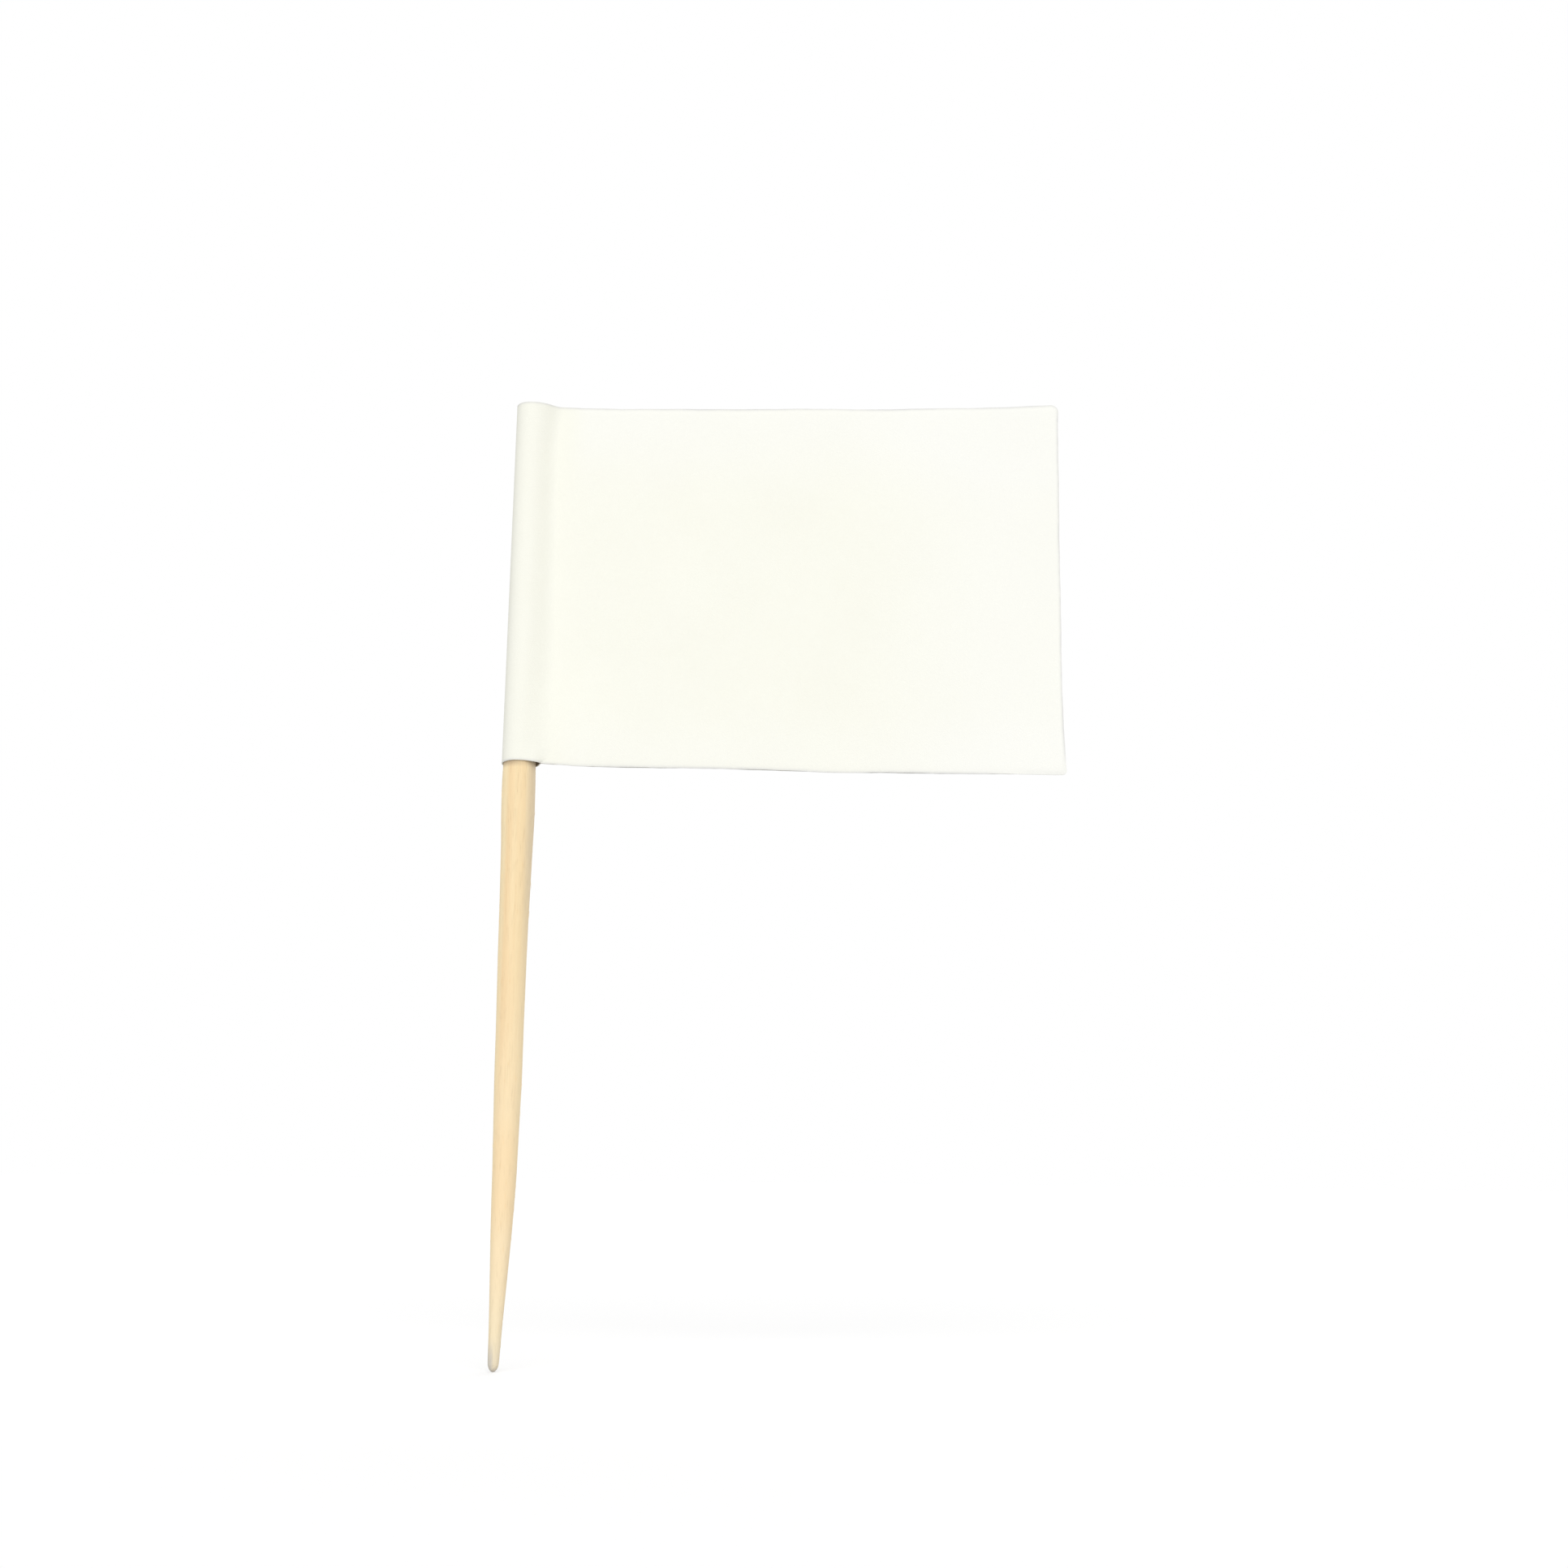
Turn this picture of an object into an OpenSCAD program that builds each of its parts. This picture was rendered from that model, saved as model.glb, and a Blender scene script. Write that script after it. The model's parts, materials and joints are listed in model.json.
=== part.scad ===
// Flag toothpick: a blank paper flag folded round the top of a round, pointed wooden pick.
// The point of the pick is at the origin. The flag reaches out along +X, its front facing -Y.

/* [Pick] */
// Length of the wooden pick, from its point to its flat top
pick_len = 65; // [61:0.5:80]
// Diameter of the pick where the paper is wrapped round it
seat_d = 2.16; // [1.96:0.02:3]
// Diameter of the straight shank below the flag
shank_d = 1.9; // [1.72:0.02:1.96]
// Length of the straight shank
shank_len = 10; // [4:0.5:15]
// Length over which the pick narrows from its full width to the shank
shoulder_len = 8; // [2:0.5:12]
// Length of the sharpened point
point_len = 11; // [8:0.5:17]
// Diameter of the pick where the point begins
point_d = 1.54; // [1.3:0.02:1.86]
// Diameter of the blunt, rounded tip
tip_d = 0.68; // [0.4:0.02:1.2]
// Bevel round the flat top of the pick
top_bevel = 0.12; // [0.05:0.01:0.4]

/* [Flag] */
// Height of the flag along the pick
flag_h = 25.6; // [18:0.1:29]
// Distance from the middle of the pick to the free edge of the flag
flag_reach = 36.7; // [20:0.1:60]
// Height of the paper above the top of the pick
flag_lip = 0.2; // [0:0.05:1]
// Length of full-width pick that shows below the flag
seat_show = 3; // [0.2:0.1:6]
// Radius of the upper free corner of the flag
upper_corner_r = 0.6; // [0.2:0.05:4]
// Radius of the lower free corner of the flag
lower_corner_r = 0.3; // [0.2:0.05:4]

/* [Paper and glue] */
// Thickness of the paper
paper_t = 0.08; // [0.06:0.01:0.2]
// Thickness of the dry glue between the two leaves
glue_t = 0.04; // [0.03:0.01:0.1]
// Width of the dry border the glue leaves along the free edges
glue_inset = 0.5; // [0.1:0.1:3]
// Radius of the bend where the wrap runs out into a leaf
bend_r = 0.86; // [0.5:0.02:2]
// Play between the paper wrap and the pick, on the radius
wrap_play = 0.02; // [0.01:0.01:0.06]
// Play between the wrap and the leaves at the crease
crease_play = 0.02; // [0.01:0.01:0.06]

/* [Hidden] */
$fn = 96;
seat_r = seat_d / 2;
shank_r = shank_d / 2;
point_r = point_d / 2;
tip_r = tip_d / 2;
flag_top = pick_len + flag_lip;
flag_bottom = flag_top - flag_h;
seat_low = flag_bottom - seat_show;
shank_high = seat_low - shoulder_len;
shank_low = shank_high - shank_len;
bore_r = seat_r + wrap_play;
wrap_r = bore_r + paper_t;
stack_t = 2 * paper_t + glue_t;
nose_r = stack_t / 2;
// the two bends beside the wrap are circles that touch both the wrap and the leaf
bend_y = nose_r + bend_r;
bend_x = sqrt(pow(wrap_r + bend_r, 2) - pow(bend_y, 2));
// the flag folds about an upright line just outside the wrap
crease_x = bend_x + nose_r + crease_play;

// Round pick: blunt tip, long point, straight shank and the wrapped top
module wooden_pick() {
    color([0.93, 0.76, 0.5])
    union() {
        translate([0, 0, tip_r])
        sphere(r = tip_r);
        rotate_extrude()
        polygon([
            [0, tip_r],
            [tip_r, tip_r],
            [point_r, point_len],
            [shank_r, shank_low],
            [shank_r, shank_high],
            [seat_r, seat_low],
            [seat_r, pick_len - top_bevel],
            [seat_r - top_bevel, pick_len],
            [0, pick_len]
        ]);
    }
}

// Ground between the wrap and two bends of radius r, seen from above
module bend_web(r) {
    difference() {
        polygon([[0, 0], [bend_x, -bend_y], [bend_x, bend_y]]);
        for (side = [-1, 1])
            translate([bend_x, side * bend_y])
            circle(r = r);
    }
}

// Paper wrapped round the pick, with the start of both leaves and a hollow wedge beside the pick
module paper_sleeve() {
    color([0.94, 0.94, 0.88])
    translate([0, 0, flag_bottom])
    linear_extrude(height = flag_h)
    difference() {
        union() {
            circle(r = wrap_r);
            bend_web(bend_r);
        }
        circle(r = bore_r);
        bend_web(bend_r + paper_t);
    }
}

// Corner block less the circle that rounds it, at the corner of a quarter plane
module corner_waste(r) {
    difference() {
        square(2 * r);
        circle(r = r);
    }
}

// Outline of a leaf seen from the front, drawn in by inset along its free edges
module leaf_outline(inset) {
    left = crease_x - nose_r;
    right = flag_reach - inset;
    low = flag_bottom + inset;
    high = flag_top - inset;
    difference() {
        translate([left, low])
        square([right - left, high - low]);
        translate([right - upper_corner_r, high - upper_corner_r])
        corner_waste(upper_corner_r);
        translate([right - lower_corner_r, low + lower_corner_r])
        mirror([0, 1])
        corner_waste(lower_corner_r);
    }
}

// One layer of the flag from depth y0 to depth y1, rounded about the crease at its inner end
module leaf_layer(y0, y1, inset) {
    intersection() {
        translate([0, y1, 0])
        rotate([90, 0, 0])
        linear_extrude(height = y1 - y0)
        leaf_outline(inset);
        translate([0, 0, flag_bottom])
        linear_extrude(height = flag_h)
        union() {
            translate([crease_x, 0])
            circle(r = nose_r);
            translate([crease_x, -stack_t])
            square([flag_reach, 2 * stack_t]);
        }
    }
}

// Leaf that faces the viewer
module front_leaf() {
    color([0.96, 0.96, 0.9])
    leaf_layer(-nose_r, -glue_t / 2, 0);
}

// Film of dry glue that holds the two leaves face to face
module leaf_glue() {
    color([0.9, 0.88, 0.78])
    leaf_layer(-glue_t / 2, glue_t / 2, glue_inset);
}

// Leaf at the back
module back_leaf() {
    color([0.95, 0.95, 0.89])
    leaf_layer(glue_t / 2, nose_r, 0);
}

wooden_pick();
paper_sleeve();
front_leaf();
leaf_glue();
back_leaf();
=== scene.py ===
"""Flag toothpick: a blank paper flag folded round a pointed wooden pick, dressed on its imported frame.

Sizes are in millimetres until a mesh is made. The flag's front faces -Y and its free edge lies towards +X.
"""

from __future__ import annotations

import json
import logging
import math
from dataclasses import asdict, dataclass, fields
from enum import Enum
from typing import Any

import bpy
import numpy as np
from mathutils import Matrix, Vector

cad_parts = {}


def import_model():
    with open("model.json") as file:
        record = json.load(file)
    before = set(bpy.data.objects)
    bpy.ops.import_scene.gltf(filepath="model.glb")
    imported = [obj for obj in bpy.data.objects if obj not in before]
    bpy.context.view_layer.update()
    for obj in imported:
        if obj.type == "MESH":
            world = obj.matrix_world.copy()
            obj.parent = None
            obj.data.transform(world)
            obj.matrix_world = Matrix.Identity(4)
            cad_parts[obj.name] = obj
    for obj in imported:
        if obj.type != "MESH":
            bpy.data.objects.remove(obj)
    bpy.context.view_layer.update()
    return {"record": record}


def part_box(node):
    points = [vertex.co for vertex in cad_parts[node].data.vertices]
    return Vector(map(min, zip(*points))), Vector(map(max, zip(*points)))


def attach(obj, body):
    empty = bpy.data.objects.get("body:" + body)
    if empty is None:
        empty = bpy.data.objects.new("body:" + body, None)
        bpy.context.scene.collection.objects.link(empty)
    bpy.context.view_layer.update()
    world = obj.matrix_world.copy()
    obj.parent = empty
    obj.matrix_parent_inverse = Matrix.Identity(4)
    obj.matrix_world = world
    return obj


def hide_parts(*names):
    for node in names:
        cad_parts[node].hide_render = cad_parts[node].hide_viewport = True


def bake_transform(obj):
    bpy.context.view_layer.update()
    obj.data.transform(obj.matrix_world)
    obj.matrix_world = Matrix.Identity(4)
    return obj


LOG = logging.getLogger("flag_toothpick")
MM = 0.001
WHITE = (1.0, 1.0, 1.0, 1.0)
UNSCALED = (1.0, 1.0, 1.0)
UNMOVED = (0.0, 0.0, 0.0)
PHASE_RANGE = 6.28
KEPT_DECIMALS = 4
Triple = tuple[float, float, float]
Profile = tuple[tuple[float, float], ...]
Inputs = dict[str, Any]
Socket = bpy.types.NodeSocket
Node = bpy.types.Node
Tree = bpy.types.NodeTree
Material = bpy.types.Material
Piece = bpy.types.Object


class Body(Enum):
    """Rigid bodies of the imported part."""

    PICK = "pick"
    SLEEVE = "sleeve"
    LEAF = "leaf"


class Slot(Enum):
    """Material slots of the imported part."""

    WOOD = "pick_wood"
    PAPER = "flag_paper"
    GLUE = "dry_glue"


class Kind(Enum):
    """Socket types of the node trees."""

    NUMBER = "NodeSocketFloat"
    COUNT = "NodeSocketInt"
    VECTOR = "NodeSocketVector"
    MATERIAL = "NodeSocketMaterial"
    GEOMETRY = "NodeSocketGeometry"


class Cut(Enum):
    """Cut edges of the paper, each with its own number for the chance in its waver."""

    FREE = 1
    UPPER = 2
    LOWER = 3


class Axis(Enum):
    """Axes of the frame, by their place in a vector."""

    X = 0
    Y = 1
    Z = 2


@dataclass(frozen=True)
class Fade:
    """A smooth step between two places, from a start value to an end value."""

    low: float
    high: float
    start: float = 0.0
    end: float = 1.0

    def at(self, places: np.ndarray) -> np.ndarray:
        """Read the step at some places."""
        share = np.clip((places - self.low) / (self.high - self.low), 0.0, 1.0)
        return self.start + (self.end - self.start) * share * share * (3.0 - 2.0 * share)


@dataclass(frozen=True)
class Drift:
    """Scales of a slow change of tone, and the share of the fine one."""

    coarse: float
    fine: float
    balance: float


@dataclass(frozen=True)
class Streaks:
    """Scale of thin streaks, and the level of the noise where a streak begins."""

    scale: float
    cut: float


@dataclass(frozen=True)
class Rings:
    """Scale and waver of growth rings in wood."""

    scale: float
    distortion: float
    detail_scale: float
    detail: float = 2.0


@dataclass(frozen=True)
class Noise:
    """Scale and fineness of plain noise."""

    scale: float
    detail: float
    roughness: float


def sockets_of(looks: Any) -> dict[str, float]:
    """Name the numbers of a look after the sockets that they feed, such as Detail Scale for detail_scale."""
    return {name.replace("_", " ").title(): value for name, value in asdict(looks).items()}


class Bench:
    """Adds nodes to one tree and joins them."""

    def __init__(self, tree: Tree) -> None:
        """Keep the tree that this bench works on."""
        self.tree = tree

    def add(self, kind: str, inputs: Inputs | None = None, **settings: Any) -> Node:
        """Add one node.

        Args:
            kind: the node's class name.
            inputs: socket identifier to a plain value or to an output socket to join.
            settings: properties set on the node before its inputs.

        Returns:
            The new node.
        """
        node = self.tree.nodes.new(kind)
        for name, value in settings.items():
            setattr(node, name, value)
        for identifier, value in (inputs or {}).items():
            self.feed(node, identifier, value)
        return node

    def first(self, kind: str, inputs: Inputs | None = None, **settings: Any) -> Socket:
        """Add one node and return its first output."""
        return self.add(kind, inputs, **settings).outputs[0]

    def feed(self, node: Node, identifier: str, value: Any) -> None:
        """Give one input socket a value or a link.

        Args:
            node: the node that owns the input.
            identifier: the input socket's identifier.
            value: a plain value, or an output socket.
        """
        target = next(s for s in node.inputs if s.identifier == identifier)
        if isinstance(value, Socket):
            self.tree.links.new(value, target)
        else:
            target.default_value = value

    def out(self, node: Node, identifier: str) -> Socket:
        """Return an output socket by its identifier."""
        return next(s for s in node.outputs if s.identifier == identifier)

    def math(self, operation: str, a: Any, b: Any = 0.0, clamp: bool = False) -> Socket:
        """Add a math node on values or sockets and return its result."""
        values = {"Value": a, "Value_001": b}
        return self.first("ShaderNodeMath", values, operation=operation, use_clamp=clamp)

    def times(self, a: Any, b: Any) -> Socket:
        """Multiply two values or sockets."""
        return self.math("MULTIPLY", a, b)

    def vector(self, operation: str, a: Any, b: Any) -> Socket:
        """Add a vector math node and return its result. SCALE takes a number as its second value."""
        second = "Scale" if operation == "SCALE" else "Vector_001"
        return self.first("ShaderNodeVectorMath", {"Vector": a, second: b}, operation=operation)

    def ramp(self, value: Any, fade: Fade) -> Socket:
        """Read a smooth step at a socket's value."""
        ends = {"From Min": fade.low, "From Max": fade.high, "To Min": fade.start, "To Max": fade.end}
        return self.first("ShaderNodeMapRange", {"Value": value, **ends}, interpolation_type="SMOOTHSTEP")


class Effects:
    """Shader node groups that several finishes share, built once."""

    DRIFT_NOISE = {"Detail": 3.0, "Roughness": 0.55}
    DRIFT_CONTRAST = Fade(0.3, 0.7)
    STREAK_NOISE = {"Detail": 2.0, "Roughness": 0.5}
    STREAK_GAIN = 6.0

    def __init__(self) -> None:
        """Build the groups, each found by the kind of look that it takes."""
        self.groups = {Drift: self._build_tone_drift(), Streaks: self._build_fibre_streaks()}

    @staticmethod
    def _group(name: str, looks: type, output: str) -> tuple[Bench, Node, Node]:
        """Start a group that takes a vector and the numbers of a look, and gives one number.

        Args:
            name: the group's name.
            looks: the dataclass whose numbers it takes.
            output: name of the number that it gives.

        Returns:
            The group's bench, its input node and its output node.
        """
        tree = bpy.data.node_groups.new(name, "ShaderNodeTree")
        tree.interface.new_socket("Vector", in_out="INPUT", socket_type=Kind.VECTOR.value)
        for field in fields(looks):
            tree.interface.new_socket(field.name.title(), in_out="INPUT", socket_type=Kind.NUMBER.value)
        tree.interface.new_socket(output, in_out="OUTPUT", socket_type=Kind.NUMBER.value)
        bench = Bench(tree)
        return bench, bench.add("NodeGroupInput"), bench.add("NodeGroupOutput")

    @staticmethod
    def _noise(bench: Bench, start: Node, scale: str, looks: dict[str, float]) -> Socket:
        """Add noise on the group's vector, at the scale that one of its inputs gives."""
        places = {"Vector": start.outputs["Vector"], "Scale": start.outputs[scale]}
        return bench.first("ShaderNodeTexNoise", {**places, **looks})

    def _build_tone_drift(self) -> Tree:
        """Build the slow drift of tone that wood, paper and glue show.

        Returns:
            A group from Vector, Coarse, Fine and Balance to Tone.
        """
        bench, start, end = self._group("tone_drift", Drift, "Tone")
        both = bench.add("ShaderNodeMix", {"Factor_Float": start.outputs["Balance"]}, data_type="FLOAT")
        for identifier, scale in (("A_Float", "Coarse"), ("B_Float", "Fine")):
            bench.feed(both, identifier, self._noise(bench, start, scale, self.DRIFT_NOISE))
        tone = bench.ramp(bench.out(both, "Result_Float"), self.DRIFT_CONTRAST)
        bench.tree.links.new(tone, end.inputs["Tone"])
        return bench.tree

    def _build_fibre_streaks(self) -> Tree:
        """Build thin streaks, for the fibres of paper and the pores of wood.

        Returns:
            A group from Vector, Scale and Cut to Streak.
        """
        bench, start, end = self._group("fibre_streaks", Streaks, "Streak")
        noise = self._noise(bench, start, "Scale", self.STREAK_NOISE)
        above = bench.math("SUBTRACT", noise, start.outputs["Cut"])
        streak = bench.math("MULTIPLY", above, self.STREAK_GAIN, clamp=True)
        bench.tree.links.new(streak, end.inputs["Streak"])
        return bench.tree


class Surface(Bench):
    """Bench of one material, where the shared effects can be placed."""

    def __init__(self, name: str, effects: Effects) -> None:
        """Start the material.

        Args:
            name: the material's name.
            effects: the shared node groups.
        """
        self.material = bpy.data.materials.new(name)
        self.material.use_nodes = True
        self.effects = effects
        super().__init__(self.material.node_tree)

    def mapping(self, vector: Any, scale: Triple, turn: Triple = UNMOVED, shift: Triple = UNMOVED) -> Socket:
        """Scale a coordinate, turn it in radians and shift it."""
        places = {"Vector": vector, "Scale": scale, "Rotation": turn, "Location": shift}
        return self.first("ShaderNodeMapping", places)

    def millimetres(self) -> Socket:
        """Return the piece's own coordinates in millimetres."""
        place = self.add("ShaderNodeTexCoord").outputs["Object"]
        return self.mapping(place, (1 / MM, 1 / MM, 1 / MM))

    def attribute(self, name: str, output: str = "Fac") -> Socket:
        """Read an attribute that the mesh carries."""
        return self.add("ShaderNodeAttribute", attribute_name=name).outputs[output]

    def effect(self, vector: Socket, looks: Drift | Streaks) -> Socket:
        """Place a shared effect.

        Args:
            vector: the coordinate that it reads, already stretched where streaks are to be long.
            looks: the effect's numbers, whose kind tells which effect is meant.

        Returns:
            The drift of tone or the streaks, 0 to 1.
        """
        node = self.add("ShaderNodeGroup", node_tree=self.effects.groups[type(looks)])
        self.tree.links.new(vector, node.inputs["Vector"])
        for label, value in sockets_of(looks).items():
            node.inputs[label].default_value = value
        return node.outputs[0]

    def rings(self, vector: Socket, looks: Rings, **settings: Any) -> Socket:
        """Add growth rings and return their strength."""
        values = {"Vector": vector, **sockets_of(looks)}
        return self.add("ShaderNodeTexWave", values, **settings).outputs["Fac"]

    def mix(self, share: Any, a: Any, b: Any) -> Socket:
        """Mix two colours.

        Args:
            share: share of the second colour.
            a: first colour or socket.
            b: second colour or socket.

        Returns:
            The mixed colour's socket.
        """
        node = self.add("ShaderNodeMix", data_type="RGBA")
        for identifier, value in (("Factor_Float", share), ("A_Color", a), ("B_Color", b)):
            self.feed(node, identifier, (*value, 1.0) if isinstance(value, tuple) else value)
        return self.out(node, "Result_Color")

    def coats(self, ground: Triple, coats: list[tuple[Any, Any]]) -> Any:
        """Lay colours over each other.

        Args:
            ground: the lowest colour.
            coats: share and colour of each coat, lowest first.

        Returns:
            The socket of the colour that shows.
        """
        colour: Any = ground
        for share, tint in coats:
            colour = self.mix(share, colour, tint)
        return colour

    def fill(self, looks: Inputs, relief: Socket, depth: float) -> Material:
        """Set the inputs of the material's one shader.

        Args:
            looks: input of the shader to a value or a socket.
            relief: height of the surface, 0 to 1.
            depth: height that 1 stands for, in millimetres.

        Returns:
            The finished material.
        """
        shader = next(n for n in self.tree.nodes if n.type == "BSDF_PRINCIPLED")
        bump = self.first("ShaderNodeBump", {"Strength": 1.0, "Distance": depth * MM, "Height": relief})
        for identifier, value in {**looks, "Normal": bump}.items():
            self.feed(shader, identifier, value)
        return self.material


@dataclass(frozen=True)
class PaperFinish:
    """Thin uncoated off-white paper with felted fibres; painted shade along its cut edges and in the hollow
    of the fold, and painted light near its free edges.
    """

    bright: Triple = (0.960, 0.958, 0.868)
    dull: Triple = (0.945, 0.940, 0.845)
    # Painted light: the paler tint near the free edges.
    pale: Triple = (0.966, 0.965, 0.912)
    # Painted shade inside the hollow of the fold, on the inner face beside the pick.
    stain: Triple = (0.52, 0.46, 0.39)
    # Grey of the painted shade along the cut edges and on a band at the lower free corner.
    cut: Triple = (0.70, 0.70, 0.69)
    cloud: Drift = Drift(0.16, 1.1, 0.35)
    cloud_share: float = 0.8
    felt: Streaks = Streaks(1.0, 0.52)
    felt_turns: Triple = (0.25, 1.35, 2.4)
    felt_shift: Triple = (3.1, 1.7, 0.0)
    felt_stretch: Triple = (1.4, 11.0, 1.0)
    felt_share: float = 0.25
    # Random patches and strength of the painted shade along the cut edges.
    wear: Drift = Drift(0.22, 1.9, 0.3)
    edge_shade_share: Fade = Fade(0.0, 1.0, 0.4675, 0.85)
    roughness: Fade = Fade(0.0, 1.0, 0.92, 0.8)
    fibre_height: float = 0.003
    specular: float = 0.2

    def _felted(self, surface: Surface, strip: Socket) -> Socket:
        """Lay fibres in several directions over each other.

        Args:
            surface: the material's bench.
            strip: place on the strip of paper.

        Returns:
            The fibres' socket, 0 to 1.
        """
        felt = None
        for number, turn in enumerate(self.felt_turns):
            shift = tuple(number * step for step in self.felt_shift)
            turned = surface.mapping(strip, UNSCALED, (0.0, 0.0, turn), shift)
            streak = surface.effect(surface.mapping(turned, self.felt_stretch), self.felt)
            felt = streak if felt is None else surface.math("MAXIMUM", felt, streak)
        return felt

    def make(self, effects: Effects) -> Material:
        """Build the material.

        Args:
            effects: the shared node groups.

        Returns:
            The paper material. It reads the sheet's own attributes: the place on the strip, and the shares of
            painted shade along the cut edges, of painted light near the free edges and of painted shade in
            the hollow of the fold.
        """
        surface = Surface("uncoated_paper", effects)
        strip = surface.attribute("strip", "Vector")
        felt = self._felted(surface, strip)
        # Patchy strength of the painted shade along the cut edges.
        edge_shade_patches = surface.ramp(surface.effect(strip, self.wear), self.edge_shade_share)
        coats = [
            (surface.times(surface.effect(strip, self.cloud), self.cloud_share), self.dull),
            (surface.times(felt, self.felt_share), self.dull),
            # Painted light near the free edges.
            (surface.attribute("margin"), self.pale),
            # Painted shade in the hollow of the fold.
            (surface.attribute("fold_hollow_shade"), self.stain),
            # Painted shade along the cut edges.
            (surface.times(surface.attribute("cut_edge_shade"), edge_shade_patches), self.cut),
        ]
        looks = {
            "Base Color": surface.coats(self.bright, coats),
            "Roughness": surface.ramp(felt, self.roughness),
            "Specular IOR Level": self.specular,
        }
        return surface.fill(looks, felt, self.fibre_height)


@dataclass(frozen=True)
class WoodFinish:
    """Pale, plain, straight-grained wood with fine pores, bleached towards its point, with painted light and
    shade on its sides and painted shadow just under the sleeve.

    Most fades run over the height above the tip, or over the side, which is negative away from the flag.
    """

    length: float
    rim_height: float
    cream: Triple = (0.975, 0.775, 0.480)
    peach: Triple = (0.930, 0.685, 0.398)
    straw: Triple = (0.950, 0.790, 0.480)
    pore: Triple = (0.78, 0.56, 0.33)
    # Painted light on the pick's sides.
    sap: Triple = (1.000, 0.825, 0.525)
    # Painted shade on the flag's side of the pick, under the flag.
    heart: Triple = (0.80, 0.67, 0.47)
    warm: Triple = (0.975, 0.735, 0.435)
    point: Triple = (0.990, 0.805, 0.530)
    bleached: Triple = (0.930, 0.805, 0.560)
    # Grey laid on near the tip: at its very end, and on the side away from the flag.
    tip: Triple = (0.58, 0.56, 0.53)
    end_grain: Triple = (0.84, 0.64, 0.39)
    end_ring: Triple = (0.66, 0.46, 0.25)
    # Painted shadow on the wood just under the sleeve's lower edge.
    rim: Triple = (0.46, 0.35, 0.23)
    grain_stretch: Triple = (1.0, 1.0, 0.035)
    grain_lean: Triple = (0.012, -0.016, 0.0)
    grain: Drift = Drift(2.1, 7.5, 0.4)
    grain_share: float = 0.75
    flank_rings: Rings = Rings(0.55, 2.2, 1.4)
    flank_share: float = 0.25
    straw_shift: Triple = (7.0, 3.0, 1.0)
    straw_drift: Drift = Drift(1.4, 11.0, 0.25)
    straw_share: float = 0.4
    pore_stretch: Triple = (1.0, 1.0, 0.028)
    pore_shift: Triple = (2.0, 5.0, 0.0)
    pores: Streaks = Streaks(21.0, 0.6)
    pore_share: float = 0.45
    point_from: Fade = Fade(29.0, 8.0, 0.0, 0.92)
    warm_below: Fade = Fade(17.0, 13.5)
    warm_above: Fade = Fade(7.5, 10.5, 0.0, 0.55)
    bleached_from: Fade = Fade(7.0, 1.0, 0.0, 0.8)
    vein_side: float = -0.36
    vein_width: Fade = Fade(0.34, 0.05, 0.0, 0.5)
    vein_from: Fade = Fade(17.0, 25.0)
    # Painted light on the side away from the flag.
    sap_side: Fade = Fade(-0.42, -0.8, 0.0, 0.95)
    # On the flag's side: painted light low down, painted shade from under the flag upwards.
    flag_side: Fade = Fade(0.5, 1.0, 0.0, 0.7)
    heart_from: Fade = Fade(22.0, 35.0)
    # Where the pick is greyer near the tip: on the side away from the flag, and at its very end.
    tip_side: Fade = Fade(-0.08, -0.36, 0.2, 0.75)
    tip_from: Fade = Fade(2.4, 0.5)
    end_grey: Fade = Fade(0.5, 0.05, 0.0, 0.6)
    # Painted shadow under the sleeve's lower edge: how far down it reaches, and how strong it is on each
    # side.
    rim_depth: float = 0.4
    rim_side: Fade = Fade(0.6, -0.6, 0.3, 0.68)
    end_stretch: Triple = (1.0, 1.0, 0.01)
    end_shift: Triple = (3.2, 1.1, 0.0)
    end_rings: Rings = Rings(0.5, 0.8, 2.0)
    late_wood: Fade = Fade(0.45, 1.0, 0.0, 0.7)
    vessels: Streaks = Streaks(9.0, 0.56)
    vessel_share: float = 0.6
    end_from: float = 0.11
    end_full: float = 0.06
    end_share: float = 0.9
    fine_stretch: Triple = (1.0, 1.0, 0.05)
    fine: Streaks = Streaks(12.0, 0.42)
    fine_share: float = 0.45
    roughness: Fade = Fade(0.0, 1.0, 0.55, 0.72)
    pore_depth: float = 0.012
    specular: float = 0.25

    def _sawn(self, surface: Surface, mm: Socket) -> Socket:
        """Build the end grain of the sawn top.

        Args:
            surface: the material's bench.
            mm: place in millimetres.

        Returns:
            The end grain's colour.
        """
        around = surface.mapping(mm, self.end_stretch, shift=self.end_shift)
        yearly = surface.rings(around, self.end_rings, wave_type="RINGS", rings_direction="Z")
        vessels = surface.times(surface.effect(mm, self.vessels), self.vessel_share)
        late = surface.math("MAXIMUM", surface.ramp(yearly, self.late_wood), vessels)
        return surface.mix(late, self.end_grain, self.end_ring)

    def _zones(self, surface: Surface, height: Socket, side: Socket) -> list[tuple[Socket, Any]]:
        """List the tones laid on at one place on the pick: tones of the wood, painted light and shade on its
        sides, and painted shadow just under the sleeve.

        Args:
            surface: the material's bench.
            height: height above the tip.
            side: distance to the flag's side of the axis.

        Returns:
            Share and colour of each tone, in the order in which they are laid on.
        """
        warm = surface.times(surface.ramp(height, self.warm_below), surface.ramp(height, self.warm_above))
        aside = surface.math("ABSOLUTE", surface.math("SUBTRACT", side, self.vein_side))
        vein = surface.times(surface.ramp(aside, self.vein_width), surface.ramp(height, self.vein_from))
        # Painted light low down and painted shade higher up, on the flag's side.
        flag_limb_shading = surface.mix(surface.ramp(height, self.heart_from), self.sap, self.heart)
        # Greyer near the tip on the side away from the flag.
        side_grey = surface.times(surface.ramp(side, self.tip_side), surface.ramp(height, self.tip_from))
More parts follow.
